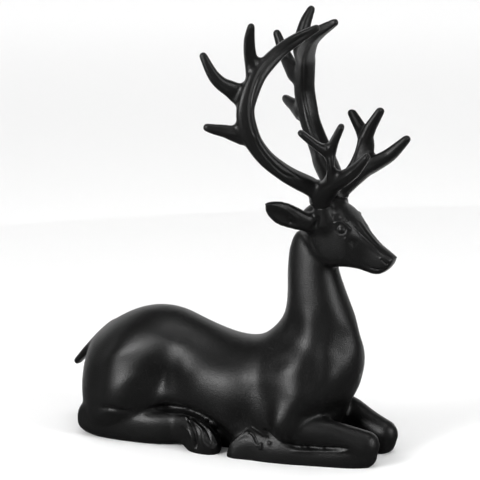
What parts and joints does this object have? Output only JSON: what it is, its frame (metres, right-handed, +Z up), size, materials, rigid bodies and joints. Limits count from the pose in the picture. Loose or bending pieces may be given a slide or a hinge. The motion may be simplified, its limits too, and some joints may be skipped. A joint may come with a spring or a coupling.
{
  "type": "lying reindeer figurine",
  "caption": "Satin black figurine of a reindeer lying with folded legs, head raised under branching antlers; a decorative ornament for a shelf, table or mantel.",
  "frame": {"origin": "on the flat underside, in the plane of symmetry, under the belly", "axes": "+X the way the head looks, +Y the animal's left side, +Z up"},
  "size_m": [0.2838, 0.1527, 0.3503],
  "materials": {
    "body": "satin black paint on cast resin",
    "antler": "satin black paint on cast resin"
  },
  "bodies": {
    "root": {"reindeer": "body", "antler_left": "antler", "antler_right": "antler"}
  },
  "joints": []
}
